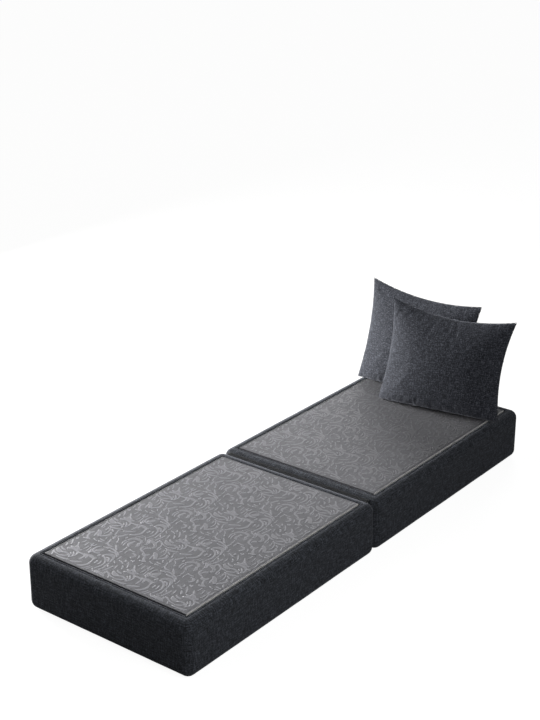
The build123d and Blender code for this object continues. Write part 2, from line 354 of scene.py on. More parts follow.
def open_cell_foam(name, shade):
    """Cut polyurethane foam. Its open cells, 1 to 2 mm wide, catch the light as fine dimples."""
    made, tree, place = start_material(name)
    cells = add(tree, "ShaderNodeTexVoronoi", {"Vector": place, "Scale": 1 / 0.0014})
    aged = add(tree, "ShaderNodeTexNoise", {"Vector": place, "Scale": 1 / 0.06, "Detail": 3.0})
    base = colour(shade)
    yellowed = (base[0] * 0.95, base[1] * 0.88, base[2] * 0.74, 1.0)
    stops = [(0.4, base), (0.7, yellowed)]
    looks = {
        "Base Color": add(tree, "ShaderNodeValToRGB", {"Fac": aged}, stops=stops),
        "Normal": add(tree, "ShaderNodeBump", {"Height": cells, "Strength": 0.6, "Distance": 0.0006}),
        "Roughness": 0.95,
    }
    return surface(made, looks)


def worn_finish(name, shade, grain, detail, stops, roughness, looks):
    """A finish whose colour varies with wear or twist, at a grain in metres.

    stops holds the two places on the grain's noise, and how much lighter the worn places are. roughness
    is one number, or two for the fresh and the worn places.
    """
    made, tree, place = start_material(name)
    wear = add(tree, "ShaderNodeTexNoise", {"Vector": place, "Scale": 1 / grain, "Detail": detail})
    fresh, worn, lighter = stops
    shades = [(fresh, colour(shade)), (worn, tinted(colour(shade), lighter))]
    toned = add(tree, "ShaderNodeValToRGB", {"Fac": wear}, stops=shades)
    if isinstance(roughness, tuple):
        span = {"Value": wear, "To Min": roughness[0], "To Max": roughness[1]}
        roughness = add(tree, "ShaderNodeMapRange", span)
    return surface(made, {"Base Color": toned, "Roughness": roughness, **looks})


def sewing_thread(name, shade):
    """Twisted polyester thread: a little smoother than the cloth it lies on."""
    return worn_finish(name, shade, 0.0008, 1.0, (0.4, 0.65, 1.5), 0.6, {})


def moulded_nylon(name):
    """Black nylon teeth, moulded on to the tape: smooth with a low waxy gloss."""
    return worn_finish(name, "nylon", 0.003, 2.0, (0.4, 0.7, 2.0), 0.38, {"IOR": 1.53})


def painted_zinc(name):
    """Die-cast zinc slider under black enamel, which is glossier where it rubs on the teeth."""
    return worn_finish(name, "slider", 0.004, 3.0, (0.45, 0.72, 2.5), (0.42, 0.26), {"Metallic": 0.35})


COVER_YARNS = ("linen_deep", "linen", "linen_fleck")
PILLOW_YARNS = ("pillow_deep", "pillow", "pillow_fleck")
# Each finish's maker, and the values that it is given
FINISHES = {
    "cover_linen": (woven_linen, COVER_YARNS, 0.0042, 0.034, 0.0064, 0.3),
    "pillow_linen": (woven_linen, PILLOW_YARNS, 0.0036, 0.024, 0.0058, 0.9),
    "welt_linen": (woven_linen, COVER_YARNS, 0.0016, 0.008, 0.004, 0.4, False),
    "twill_ticking": (ticking_cloth, "ticking", False, True, 0.72, 0.2),
    "satin_figure": (ticking_cloth, "figure", True, False, 0.5, 0.25),
    # Pale binding, near white: partly the binding's own colour and partly a painted highlight on the
    # hem's sides.
    "satin_binding": (ticking_cloth, "hem", False, False, 0.45, 0.1),
    "black_ribbed_tape": (ribbed_tape,),
    "firm_polyurethane_foam": (open_cell_foam, "base_foam"),
    "soft_polyurethane_foam": (open_cell_foam, "comfort_foam"),
    "cover_thread": (sewing_thread, "linen"),
    "ticking_thread": (sewing_thread, "ticking"),
    "moulded_nylon": (moulded_nylon,),
    "painted_zinc": (painted_zinc,),
}


def material(name):
    """The material of that name, made when it is first asked for."""
    maker, *values = FINISHES[name]
    return bpy.data.materials.get(name) or maker(name, *values)


# Pieces and their meshes


def mesh_of(points, faces, edges=()):
    """A mesh, which takes its piece's name from new_piece."""
    mesh = bpy.data.meshes.new("form")
    mesh.from_pydata(points, edges, faces)
    return mesh


def new_piece(name, mesh, finish=None):
    """A new object in the scene for a mesh."""
    mesh.name = name
    piece = bpy.data.objects.new(name, mesh)
    bpy.context.scene.collection.objects.link(piece)
    if finish:
        mesh.materials.append(material(finish))
    return piece


def settle(piece, body, slot, *replaced, fill=None):
    """Attach a piece to what it rides on, and hide the nodes that it stands for. Its slot and fill are
    not used.
    """
    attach(piece, body)
    if replaced:
        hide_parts(*replaced)


def smooth(mesh):
    mesh.polygons.foreach_set("use_smooth", [True] * len(mesh.polygons))
    mesh.update()


def face_outwards(mesh, merge=None):
    """Merge points that lie closer than that, and turn every face outwards."""
    shape = bmesh.new()
    shape.from_mesh(mesh)
    if merge:
        bmesh.ops.remove_doubles(shape, verts=shape.verts, dist=merge)
    bmesh.ops.recalc_face_normals(shape, faces=shape.faces)
    shape.to_mesh(mesh)
    shape.free()
    return mesh


def apply_modifiers(piece):
    """Give the piece the mesh that its modifiers make, and remove them."""
    bpy.context.view_layer.update()
    graph = bpy.context.evaluated_depsgraph_get()
    made = bpy.data.meshes.new_from_object(piece.evaluated_get(graph), depsgraph=graph)
    piece.modifiers.clear()
    old = piece.data
    piece.data = made
    bpy.data.meshes.remove(old)
    made.name = piece.name
    return made


def outline(low, high, inset, radius, shares_x, shares_y, corner_steps):
    """Points (x, y) round a rounded rectangle, the same number whatever its size."""
    middle, half = (low + high) / 2, (high - low) / 2
    half_x, half_y = half.x - inset, half.y - inset
    flat_x, flat_y = half_x - radius, half_y - radius
    points = []
    runs = (
        [(share * flat_x, -half_y) for share in shares_x],
        [(half_x, share * flat_y) for share in shares_y],
        [(-share * flat_x, half_y) for share in shares_x],
        [(-half_x, -share * flat_y) for share in shares_y],
    )
    corners = ((flat_x, -flat_y), (flat_x, flat_y), (-flat_x, flat_y), (-flat_x, -flat_y))
    for side, (run, corner) in enumerate(zip(runs, corners)):
        points += run
        for step in range(1, corner_steps):
            angle = math.pi / 2 * (side - 1 + step / corner_steps)
            points.append((corner[0] + radius * math.cos(angle), corner[1] + radius * math.sin(angle)))
    return [(middle.x + x, middle.y + y) for x, y in points]


def even_shares(count):
    return [2 * index / count - 1 for index in range(count + 1)]


def grid_faces(start, rows, columns):
    """Faces of a grid of points that were laid row by row from a first point."""
    faces = []
    for row in range(rows):
        for column in range(columns):
            base = start + row * (columns + 1) + column
            faces.append((base, base + 1, base + columns + 2, base + columns + 1))
    return faces


def wrapped_form(low, high, rings, shares_x, shares_y, corner_steps, closed=True, gap=None):
    """A form wrapped in rounded rings of (inset, height, corner radius), from first to last.

    A closed one ends in a grid at the first and the last height. gap says which faces stay open.
    The UV map is the cloth unrolled, in metres: round the form, and along the rings' profile.
    """
    loops = []
    for inset, height, radius in rings:
        places = outline(low, high, inset, radius, shares_x, shares_y, corner_steps)
        loops.append([Vector((x, y, height)) for x, y in places])
    count = len(loops[0])
    widest = loops[min(range(len(rings)), key=lambda index: rings[index][0])]
    girth = [0.0]
    for index in range(count):
        girth.append(girth[-1] + (widest[(index + 1) % count] - widest[index]).length)
    climb = [0.0]
    for first, second in zip(loops, loops[1:]):
        climb.append(climb[-1] + (second[0] - first[0]).length)
    points = [point for loop in loops for point in loop]
    faces, places = [], []
    for level in range(len(loops) - 1):
        for index in range(count):
            after = (index + 1) % count
            lower, upper = level * count, (level + 1) * count
            corners = (lower + index, lower + after, upper + after, upper + index)
            centre = sum((points[corner] for corner in corners), Vector()) / 4
            if gap and gap(centre):
                continue
            faces.append(corners)
            left, right = girth[index], girth[index + 1]
            start, end = climb[level], climb[level + 1]
            places += [(left, start), (right, start), (right, end), (left, end)]
    middle, half = (low + high) / 2, (high - low) / 2
    for inset, height, _ in (rings[0], rings[-1]) if closed else ():
        start = len(points)
        across, along = half.x - inset, half.y - inset
        for share_y in shares_y:
            for share_x in shares_x:
                points.append(Vector((middle.x + share_x * across, middle.y + share_y * along, height)))
        grid = grid_faces(start, len(shares_y) - 1, len(shares_x) - 1)
        faces += grid
        places += [(points[corner].x, points[corner].y) for face in grid for corner in face]
    mesh = mesh_of(points, faces)
    cloth = mesh.uv_layers.new(name=CLOTH_MAP)
    cloth.data.foreach_set("uv", [value for place in places for value in place])
    return face_outwards(mesh, merge=2e-6)


def sink(mesh, depth, seed):
    """Let the cloth sink a little, unevenly, between the places where it is pulled tight."""
    shift = Vector((seed * 3.1, seed * 1.7, seed * 0.9))
    normals = [vertex.normal.copy() for vertex in mesh.vertices]
    for vertex, normal in zip(mesh.vertices, normals):
        broad = 0.5 + 0.5 * noise.noise(vertex.co * 6 + shift)
        narrow = 0.5 + 0.5 * noise.noise(vertex.co * 21 + shift)
        vertex.co -= normal * depth * (0.65 * broad + 0.35 * narrow)


def block_piece(block, name, mesh, finish):
    """A piece from a mesh of the head block, which is mirrored across the fold for the foot block."""
    smooth(mesh)
    if block == "foot":
        shape = bmesh.new()
        shape.from_mesh(mesh)
        for vertex in shape.verts:
            vertex.co.y = -vertex.co.y
        bmesh.ops.reverse_faces(shape, faces=shape.faces)
        shape.to_mesh(mesh)
        shape.free()
    return new_piece(f"{block}_{name}", mesh, finish)


def mirrored(points):
    """Points of the head block's, across the fold."""
    return [Vector((point.x, -point.y, point.z)) for point in points]


def path_mesh(loops, closed=True):
    """Paths as plain edges, for the stitch and cord trees."""
    points, edges = [], []
    for loop in loops:
        start = len(points)
        points += loop
        edges += [(start + index, start + index + 1) for index in range(len(loop) - 1)]
        if closed:
            edges.append((start + len(loop) - 1, start))
    return mesh_of(points, (), edges)


# Geometry node trees


def start_tree(name, lengths, counts=()):
    """A geometry tree with named inputs for its lengths, counts and material, and its group input."""
    tree = bpy.data.node_groups.new(name, "GeometryNodeTree")
    tree.interface.new_socket("Geometry", in_out="OUTPUT", socket_type="NodeSocketGeometry")
    labels = [("Geometry", "Geometry"), ("Material", "Material")]
    labels += [(label, "Float") for label in lengths] + [(label, "Int") for label in counts]
    for label, kind in labels:
        tree.interface.new_socket(label, in_out="INPUT", socket_type="NodeSocket" + kind)
    return tree, add(tree, "NodeGroupInput").outputs


def end_tree(tree, geometry, finish):
    """Realize what the tree made, give it its material and send it out."""
    real = add(tree, "GeometryNodeRealizeInstances", {"Geometry": geometry})
    coated = add(tree, "GeometryNodeSetMaterial", {"Geometry": real, "Material": finish})
    add(tree, "NodeGroupOutput", {"Geometry": coated})
    return tree


def stitch_tree():
    """Short, fat stitches at an even pitch along the path."""
    tree, given = start_tree("stitches", ("Pitch", "Stitch Length", "Thread Radius"))
    path = add(tree, "GeometryNodeMeshToCurve", {"Mesh": given["Geometry"]})
    spacing = {"Curve": path, "Length": given["Pitch"]}
    spaced = add(tree, "GeometryNodeResampleCurve", spacing, mode="LENGTH")
    bead = add(tree, "GeometryNodeMeshUVSphere", {"Segments": 6, "Rings": 4, "Radius": 1.0})
    half = add(tree, "ShaderNodeMath", {0: given["Stitch Length"], 1: 0.5}, operation="MULTIPLY")
    thick = given["Thread Radius"]
    size = add(tree, "ShaderNodeCombineXYZ", {"X": thick, "Y": thick, "Z": half})
    along = add(tree, "GeometryNodeInputTangent")
    turned = add(tree, "FunctionNodeAlignRotationToVector", {"Vector": along}, axis="Z")
    places = {"Points": spaced, "Instance": bead, "Rotation": turned, "Scale": size}
    placed = add(tree, "GeometryNodeInstanceOnPoints", places)
    return end_tree(tree, placed, given["Material"])


def cord_tree():
    """A covered cord along the path, drawn in a little between its stitches."""
    tree, given = start_tree("covered_cord", ("Radius", "Step", "Unevenness"))
    path = add(tree, "GeometryNodeMeshToCurve", {"Mesh": given["Geometry"]})
    spacing = {"Curve": path, "Length": given["Step"]}
    spaced = add(tree, "GeometryNodeResampleCurve", spacing, mode="LENGTH")
    circle = {"Resolution": 10, "Radius": given["Radius"]}
    section = add(tree, "GeometryNodeCurvePrimitiveCircle", circle)
    sweep = {"Curve": spaced, "Profile Curve": section, "Fill Caps": True}
    swept = add(tree, "GeometryNodeCurveToMesh", sweep)
    place = add(tree, "GeometryNodeInputPosition")
    grain = add(tree, "ShaderNodeTexNoise", {"Vector": place, "Scale": 1 / 0.011, "Detail": 1.0})
    less = add(tree, "ShaderNodeMath", {0: grain, 1: given["Unevenness"]}, operation="MULTIPLY")
    inward = add(tree, "ShaderNodeMath", {0: less, 1: -1.0}, operation="MULTIPLY")
    facing = add(tree, "GeometryNodeInputNormal")
    shift = add(tree, "ShaderNodeVectorMath", {0: facing, "Scale": inward}, operation="SCALE")
    moved = add(tree, "GeometryNodeSetPosition", {"Geometry": swept, "Offset": shift})
    return end_tree(tree, moved, given["Material"])


def repeat_tree():
    """One repeat of the figure, laid out in straight rows and columns."""
    repeats = ("Repeat Across", "Repeat Along")
    tree, given = start_tree("damask_repeat", repeats, counts=("Columns", "Rows"))
    spans = []
    for count, repeat in zip(("Columns", "Rows"), repeats):
        steps = add(tree, "ShaderNodeMath", {0: given[count], 1: 1.0}, operation="SUBTRACT")
        spans.append(add(tree, "ShaderNodeMath", {0: steps, 1: given[repeat]}, operation="MULTIPLY"))
    counts = {"Vertices X": given["Columns"], "Vertices Y": given["Rows"]}
    lattice = add(tree, "GeometryNodeMeshGrid", {"Size X": spans[0], "Size Y": spans[1], **counts})
    copies = {"Points": lattice, "Instance": given["Geometry"]}
    placed = add(tree, "GeometryNodeInstanceOnPoints", copies)
    return end_tree(tree, placed, given["Material"])


TREE_MAKERS = {"stitches": stitch_tree, "covered_cord": cord_tree, "damask_repeat": repeat_tree}


def grow(piece, tree_name, finish, **values):
    """Run a geometry tree on the piece with these inputs, and keep the mesh that it makes."""
    tree = bpy.data.node_groups.get(tree_name) or TREE_MAKERS[tree_name]()
    modifier = piece.modifiers.new(tree_name, "NODES")
    modifier.node_group = tree
    wanted = {name.replace("_", " "): value for name, value in values.items()}
    wanted["Material"] = material(finish)
    for item in tree.interface.items_tree:
        if item.in_out == "INPUT" and item.name in wanted:
            modifier[item.identifier] = wanted[item.name]
    mesh = apply_modifiers(piece)
    smooth(mesh)
    return mesh


# Block sizes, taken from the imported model. Every block piece is made as the head block's


def box_of(node):
    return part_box("head_" + node)


def border_floor():
    return box_of("flange_tape")[1].z


def cover_corner(inset):
    """Corner radius of the cover's outline at an inset, from the full rounding to the lip's."""
    return max(sizes().edge_radius - inset, sizes().lip_corner * min(1.0, inset / sizes().lip_inset))


def slot_of_zip():
    """The zip slot in the cover: half its length, its bottom and its top."""
    chain_low, chain_high = box_of("zip_chain")
    room = 0.0033
    return chain_high.x, chain_low.z - room, chain_high.z + room


def rounding(radius, height, rise, steps):
    """Quarter round as (inset, height), from the side at a height to the face a rise above it."""
    angles = [math.pi / 2 * step / steps for step in range(steps + 1)]
    return [(radius * (1 - math.cos(angle)), height + rise * math.sin(angle)) for angle in angles]


def cover_rings(low, high):
    """The side band's rings, from its turned-down lip to the seam on the underside."""
    lip, radius = sizes().lip_inset, sizes().edge_radius
    _, slot_bottom, slot_top = slot_of_zip()
    side_top = high.z - radius
    rings = [
        (lip, border_floor() + 0.0002),
        (lip, high.z - 0.0018),
        (lip - 0.0004, high.z - 0.0006),
        (lip - 0.0013, high.z),
    ]
    rings += reversed(rounding(radius, side_top, radius, 14))
    side_heights = [side_top - step for step in (0.012, 0.025, 0.038, 0.05, 0.061)]
    side_heights += [slot_top, slot_bottom, 0.076, 0.064, 0.052, 0.042]
    rings += [(0.0, height) for height in side_heights]
    rings += rounding(radius, low.z + radius, -radius, 14)
    rings += [(lip - 0.0012, low.z), (lip - 0.0003, low.z + 0.0006), (lip, low.z + 0.0024)]
    return [(inset, height, cover_corner(inset)) for inset, height in rings]


def cover_shares(low, high, half_slot):
    """Places across the cover, with a column at each end of the zip slot."""
    flat = (high.x - low.x) / 2 - sizes().edge_radius
    edge = half_slot / flat
    inner = [edge * share for share in even_shares(56)]
    return [-1.0, -(1 + edge) / 2] + inner + [(1 + edge) / 2, 1.0]


# The damask. Each stroke is a run of (across, along, width) in millimetres of one repeat

STROKES = (
    ((115, 9, 2), (107, 16, 5), (104, 30, 5), (108, 43, 6), (120, 50, 6), (133, 50, 6), (138, 43, 2)),
    ((114, 39, 3), (122, 37, 12), (129, 32, 16), (131, 23, 8), (128, 20, 2)),
    ((146, 49, 3), (147, 56, 8), (146, 64, 3)),
    ((158, 50, 3), (163, 40, 8), (175, 33, 13), (188, 33, 12), (197, 42, 8), (203, 57, 5), (206, 70, 1)),
    ((176, 51, 2), (186, 52, 5), (194, 60, 5), (200, 72, 1)),
    ((158, 52, 5), (172, 56, 5), (184, 64, 5), (193, 76, 5), (197, 90, 4), (197, 104, 4), (191, 128, 1)),
    ((150, 13, 2), (163, 16, 5), (178, 15, 5), (191, 21, 4), (203, 33, 1)),
    ((160, 1, 1), (176, 5, 3), (188, 11, 3), (200, 20, 1)),
    ((98, 41, 1), (103, 50, 4), (110, 57, 4), (117, 60, 1)),
    ((100, 57, 1), (107, 63, 4), (115, 69, 2)),
    ((34, 34, 1), (41, 42, 4), (47, 50, 4), (48, 60, 6), (52, 72, 8)),
    ((50, 55, 2), (58, 60, 5), (66, 68, 9)),
    ((31, 67, 2), (42, 70, 8), (56, 70, 12), (70, 70, 10), (82, 67, 4)),
    (
        (31, 84, 4), (42, 79, 8), (55, 77, 8), (68, 79, 7),
        (79, 84, 5), (85, 95, 4), (86, 107, 4), (79, 122, 1),
    ),
    ((80, 83, 4), (95, 83, 5), (108, 84, 5), (114, 92, 5), (115, 106, 5), (114, 118, 1)),
    ((103, 80, 3), (117, 77, 8), (131, 76, 10), (143, 80, 9), (150, 78, 5), (159, 77, 1)),
    ((119, 82, 6), (124, 92, 5), (128, 99, 1)),
    (
        (149, 82, 6), (153, 95, 4), (156, 107, 6), (157, 118, 8),
        (152, 130, 7), (145, 138, 7), (132, 147, 1),
    ),
    ((128, 150, 1), (122, 158, 8), (119, 167, 7), (115, 174, 8), (109, 176, 1)),
    ((165, 85, 1), (171, 90, 5), (169, 98, 4), (172, 104, 1)),
    ((178, 79, 1), (183, 89, 4), (183, 101, 1)),
    ((65, 91, 1), (73, 97, 4), (79, 105, 4), (80, 115, 1)),
    ((10, 89, 1), (20, 96, 5), (30, 98, 6), (38, 99, 1)),
    ((4, 101, 3), (14, 110, 12), (27, 115, 15), (37, 117, 6)),
    ((35, 115, 5), (46, 110, 6), (57, 110, 5), (67, 114, 6), (75, 120, 4), (77, 128, 1)),
    ((-6, 116, 2), (3, 121, 5), (12, 127, 4), (25, 131, 3), (39, 132, 1)),
    ((66, 117, 2), (60, 125, 5), (50, 130, 4), (40, 134, 1)),
    ((37, 141, 1), (50, 144, 5), (66, 143, 7), (80, 138, 5), (92, 133, 1)),
    ((98, 140, 1), (108, 136, 6), (120, 129, 6), (136, 121, 1)),
    ((12, 131, 1), (18, 142, 4), (19, 154, 5), (23, 168, 1)),
    ((-1, 146, 3), (3, 155, 8), (3, 165, 5), (0, 171, 1)),
    (
        (151, 174, 2), (157, 163, 8), (169, 155, 9), (185, 153, 9),
        (196, 158, 8), (200, 168, 5), (199, 174, 1),
    ),
    ((193, 172, 1), (202, 179, 9), (205, 187, 9), (203, 195, 2)),
    ((177, 169, 6), (175, 181, 8), (173, 192, 8), (177, 201, 6), (187, 207, 1)),
    ((150, 174, 1), (148, 186, 4), (150, 198, 4), (156, 212, 1)),
    ((158, 177, 1), (158, 190, 3), (161, 204, 3), (166, 214, 1)),
    ((204, 131, 1), (214, 138, 4), (222, 149, 4), (222, 162, 1)),
    (
        (212, 132, 2), (222, 136, 9), (233, 137, 12), (243, 143, 10),
        (252, 151, 9), (256, 160, 6), (254, 170, 1),
    ),
    ((235, 120, 1), (238, 128, 7), (238, 136, 9)),
    ((225, 172, 2), (223, 184, 6), (228, 195, 6), (240, 202, 5), (252, 207, 2)),
    ((248, 172, 3), (241, 177, 7), (235, 186, 5), (236, 195, 1)),
    ((27, 183, 3), (38, 191, 13), (48, 200, 12), (56, 212, 9), (61, 219, 3)),
    ((36, 200, 3), (40, 211, 5), (45, 226, 1)),
    ((71, 171, 1), (78, 178, 8), (80, 188, 8), (75, 198, 6), (67, 206, 8), (63, 216, 2)),
    ((87, 159, 1), (92, 169, 4), (96, 179, 1)),
    ((101, 176, 2), (104, 187, 7), (108, 197, 5), (111, 204, 1)),
    ((59, 154, 1), (70, 160, 4), (78, 166, 1)),
    ((41, 151, 1), (46, 161, 4), (46, 173, 1)),
    ((2, 208, 4), (10, 217, 10), (20, 212, 9), (24, 202, 3)),
    ((19, 218, 3), (25, 231, 5), (35, 243, 7), (50, 248, 1)),
    ((23, 252, 2), (33, 250, 6), (44, 250, 1)),
    ((2, 229, 1), (9, 238, 4), (12, 249, 1)),
    ((114, 231, 1), (123, 238, 5), (135, 242, 5), (146, 237, 1)),
    ((144, 224, 1), (153, 232, 4), (162, 242, 5), (172, 249, 1)),
    ((129, 253, 1), (148, 250, 4), (165, 253, 5), (181, 261, 1)),
    ((224, 231, 1), (235, 232, 6), (243, 238, 6), (243, 248, 6), (236, 257, 2)),
    ((200, 218, 1), (213, 222, 3), (230, 220, 1)),
    ((130, 204, 1), (135, 208, 5), (139, 212, 1)),
    ((136, 162, 1), (139, 167, 6), (137, 172, 1)),
    ((191, 241, 1), (188, 248, 5), (187, 255, 1)),
    ((74, 225, 1), (85, 228, 4), (96, 226, 1)),
    ((78, 240, 1), (88, 238, 3), (97, 240, 1)),
    ((80, 8, 1), (79, 18, 5), (85, 26, 5), (91, 18, 5), (90, 7, 1)),
    ((4, 60, 1), (11, 65, 5), (15, 73, 4), (17, 79, 1)),
    ((240, 69, 1), (243, 79, 4), (246, 90, 1)),
    ((230, 79, 2), (230, 92, 5), (228, 105, 5), (227, 115, 6), (224, 123, 1)),
    ((236, 114, 1), (241, 118, 4), (246, 121, 1)),
    ((237, 26, 1), (242, 33, 4), (245, 39, 1)),
    ((80, 34, 1), (80, 45, 3), (78, 58, 1)),
    ((10, 12, 1), (14, 18, 5), (12, 24, 1)),
    ((45, 8, 1), (46, 20, 3), (44, 30, 1)),
    ((209, 18, 1), (212, 30, 2), (211, 42, 1)),
    ((222, 41, 1), (235, 44, 3), (250, 52, 1)),
    ((3, 30, 1), (14, 42, 3), (21, 54, 3), (25, 63, 1)),
    ((2, 17, 2), (9, 19, 4), (15, 17, 1)),
    ((61, 14, 1), (64, 28, 2), (66, 40, 1)),
    ((88, 30, 1), (92, 46, 2), (95, 62, 1)),
    ((207, 72, 1), (210, 90, 2), (212, 108, 2), (208, 124, 1)),
    ((213, 85, 1), (220, 91, 2), (222, 99, 1)),
    ((172, 122, 1), (167, 135, 2), (159, 146, 1)),
    ((181, 122, 1), (177, 135, 2), (173, 145, 1)),
    ((186, 128, 1), (195, 137, 2), (205, 145, 1)),
    ((203, 136, 1), (212, 146, 2), (218, 158, 2), (218, 170, 1)),
    ((26, 151, 1), (29, 160, 2), (27, 171, 1)),
    ((47, 147, 1), (57, 160, 2), (62, 176, 2), (60, 193, 1)),
    ((104, 206, 1), (110, 216, 3), (113, 228, 3), (111, 241, 1)),
    ((182, 212, 1), (186, 226, 2), (187, 239, 1)),
    ((203, 222, 1), (201, 236, 2), (205, 249, 1)),
    ((55, 236, 1), (66, 241, 2), (77, 243, 1)),
    ((84, 204, 1), (89, 212, 2), (96, 217, 1)),
    ((118, 186, 1), (127, 193, 2), (131, 203, 1)),
    ((120, 8, 1), (133, 6, 2), (145, 9, 1)),
    ((60, 98, 1), (68, 104, 2), (73, 112, 1)),
    ((210, 52, 1), (219, 60, 2), (227, 64, 1)),
    ((87, 142, 1), (84, 150, 3), (86, 157, 1)),
)


def stroke_line(points, spacing):
    """Points a spacing apart along a smooth line through a stroke's own points."""
    line = []
    last = len(points) - 1
    for index in range(last):
        around = [points[min(max(index + offset, 0), last)] for offset in (-1, 0, 1, 2)]
        before, first, second, after = (Vector(point) for point in around)
        steps = max(1, round((second - first).length / spacing))
        for step in range(steps):
            t = step / steps
            bend = (2 * before - 5 * first + 4 * second - after) * t * t
            twist = (3 * first - before - 3 * second + after) * t * t * t
            line.append(0.5 * (2 * first + (second - before) * t + bend + twist))
    line.append(Vector(points[-1]))
    return line


def figure_mesh():
    """One repeat of the figure: closed strokes with a flat top and a bevelled edge."""
    mm = 0.001
    size = sizes()
    edge, fill, bright = size.figure_edge / mm, size.figure_fill / mm, size.figure_line / mm
    top, sunk = size.figure_rise / mm, -0.3
    points, faces, proud = [], [], []
    for stroke in STROKES:
        line = stroke_line(stroke, 4.2)
        start = len(points)
        for index, place in enumerate(line):
            before, after = line[max(index - 1, 0)], line[min(index + 1, len(line) - 1)]
            along = Vector((after.x - before.x, after.y - before.y, 0)).normalized()
            side = Vector((-along.y, along.x, 0))
            half = 0.47 * place.z + fill / 2
            inner = max(half - bright, 0.25 * half)
            # The proud share colours the stroke: at 0 painted shade on the sunk edge, at 1 the full
            # figure colour on the raised rim, so the rim shows as a painted highlight over the partly
            # shaded middle.
            right = [
                (inner, top * 0.9, 1.0 - 0.55 * (inner / half)),
                (half, top, 1.0),
                (half + edge * 0.8, 0.25 * top, 0.0),
                (half + edge, sunk, 0.0),
            ]
            left = [(-reach, height, share) for reach, height, share in reversed(right)]
            for reach, height, share in left + right:
                across = Vector((place.x, place.y, 0)) + side * reach
                points.append(Vector((across.x, -across.y, height)) * mm)
                proud.append(share)
        around = 8
        for index in range(len(line) - 1):
            base = start + index * around
            for side in range(around):
                other = (side + 1) % around
                faces.append((base + side, base + other, base + around + other, base + around + side))
        end = start + (len(line) - 1) * around
        faces.append(tuple(start + side for side in reversed(range(around))))
        faces.append(tuple(end + side for side in range(around)))
    mesh = mesh_of(points, faces)
    mesh.attributes.new("proud", "FLOAT", "POINT").data.foreach_set("value", proud)
    return face_outwards(mesh)


def panel_height(x, y, low, high):
    """How high the ticking lies over its flat hem, at a place on the panel."""
    size = sizes()
    edge = min(x - low.x, high.x - x, y - low.y, high.y - y)
    groove = math.exp(-(((edge - size.hem_width) / 0.0016) ** 2))
    inside = min(1.0, max(0.0, (edge - size.hem_width) / 0.06))
    crown = size.panel_crown * (inside * inside * (3 - 2 * inside))
    wave = 0.00022 * noise.noise(Vector((x * 9, y * 9, 0.3))) * inside
    return crown + wave - 0.0007 * groove


def cut_to_panel(mesh, left, right, near, far):
    """Cut the figure off square at the panel's hem, and close the cuts."""
    shape = bmesh.new()
    shape.from_mesh(mesh)
    for axis, facing, place in ((0, -1, left), (0, 1, right), (1, -1, near), (1, 1, far)):
        cut = {"plane_co": Vector(), "plane_no": Vector(), "dist": 1e-7, "clear_outer": True}
        cut["plane_co"][axis] = place
        cut["plane_no"][axis] = facing
        bmesh.ops.bisect_plane(shape, geom=shape.verts[:] + shape.edges[:] + shape.faces[:], **cut)
        rim = [line for line in shape.edges if line.is_boundary]
        bmesh.ops.holes_fill(shape, edges=rim, sides=0)
    shape.to_mesh(mesh)
    shape.free()
    face_outwards(mesh)


# Pillows


# Seam points along each of a pillow's four sides
SEAM_STEPS = 120

# Crowns are the face's and the back's depth. Draws are how far the top, bottom, left and right edges
# are drawn in. Shifts move the lower left, lower right, upper right and upper left corners sideways and
# up, as filling and handling have left them. Tucks round off the two lower corners, where the pillow's
# weight folds them under, and one below zero pulls its corner out to a point.
PILLOWS = {
    "front": {
        "crowns": (0.066, 0.038),
        "draws": (0.037, 0.004, 0.022, 0.026),
        "shifts": ((-0.009, -0.002), (-0.005, 0.0), (0.004, -0.005), (-0.007, 0.008)),
        "tucks": (0.003, 0.002),
        "left": -0.15,
        "along": 0.752,
        "turn": 9.3,
        "lean": 18.0,
        "seed": 4.0,
    },
    "rear": {
        "crowns": (0.046, 0.048),
        "draws": (0.0305, 0.004, 0.0205, 0.018),
        "shifts": ((-0.006, -0.006), (0.0, 0.0), (0.005, 0.0035), (-0.0085, 0.0105)),
        "tucks": (-0.003, 0.003),
        "left": -0.35,
        "along": 0.895,
        "turn": -2.0,
        "lean": 14.5,
        "seed": 9.0,
    },
}


def bulges(across, up):
    """How full a pillow is across and up, from 0 at the seams to 1. Its filling has settled downwards."""
    settled = up + 0.16 * (1 - up * up)
    bulge_across = max(0.0, 1 - across * across) ** 0.55
    bulge_up = max(0.0, 1 - settled * settled) ** (0.45 + 0.17 * up)
    return bulge_across, bulge_up, settled


def drawn_edges(spec, across):
    """Where a pillow's lower and upper edges lie, that far across it."""
    top, bottom = spec["draws"][:2]
    return bottom * (1 - across * across), sizes().pillow_height - top * (1 - across * across)


def half_width(spec, up, left_half):
    draw = spec["draws"][2 if left_half else 3]
    return sizes().pillow_width / 2 - draw * (1 - up * up)


def pillow_point(spec, across, up, crown, side):
    """A place on a pillow, for shares from -1 to 1 across and up its outline."""
    low, high = drawn_edges(spec, across)
    x = across * half_width(spec, up, across < 0)
    z = low + (high - low) * (up + 1) / 2
    corners = ((-1, -1), (1, -1), (1, 1), (-1, 1))
    for (side_across, side_up), (over, above) in zip(corners, spec["shifts"]):
        weight = (1 + across * side_across) * (1 + up * side_up) / 4
        x += over * weight
        z += above * weight
    tuck = spec["tucks"][0 if across < 0 else 1]
    z += tuck * abs(across) ** 12 * ((1 - up) / 2) ** 6
    x -= math.copysign(tuck, across) * abs(across) ** 6 * ((1 - up) / 2) ** 12
    bulge_across, bulge_up, _ = bulges(across, up)
    if side < 0:
        z -= 0.4 * crown * bulge_across * bulge_up * math.exp(-(((up + 0.9) / 0.1) ** 2))
    return Vector((x, side * crown * bulge_across * bulge_up, z))


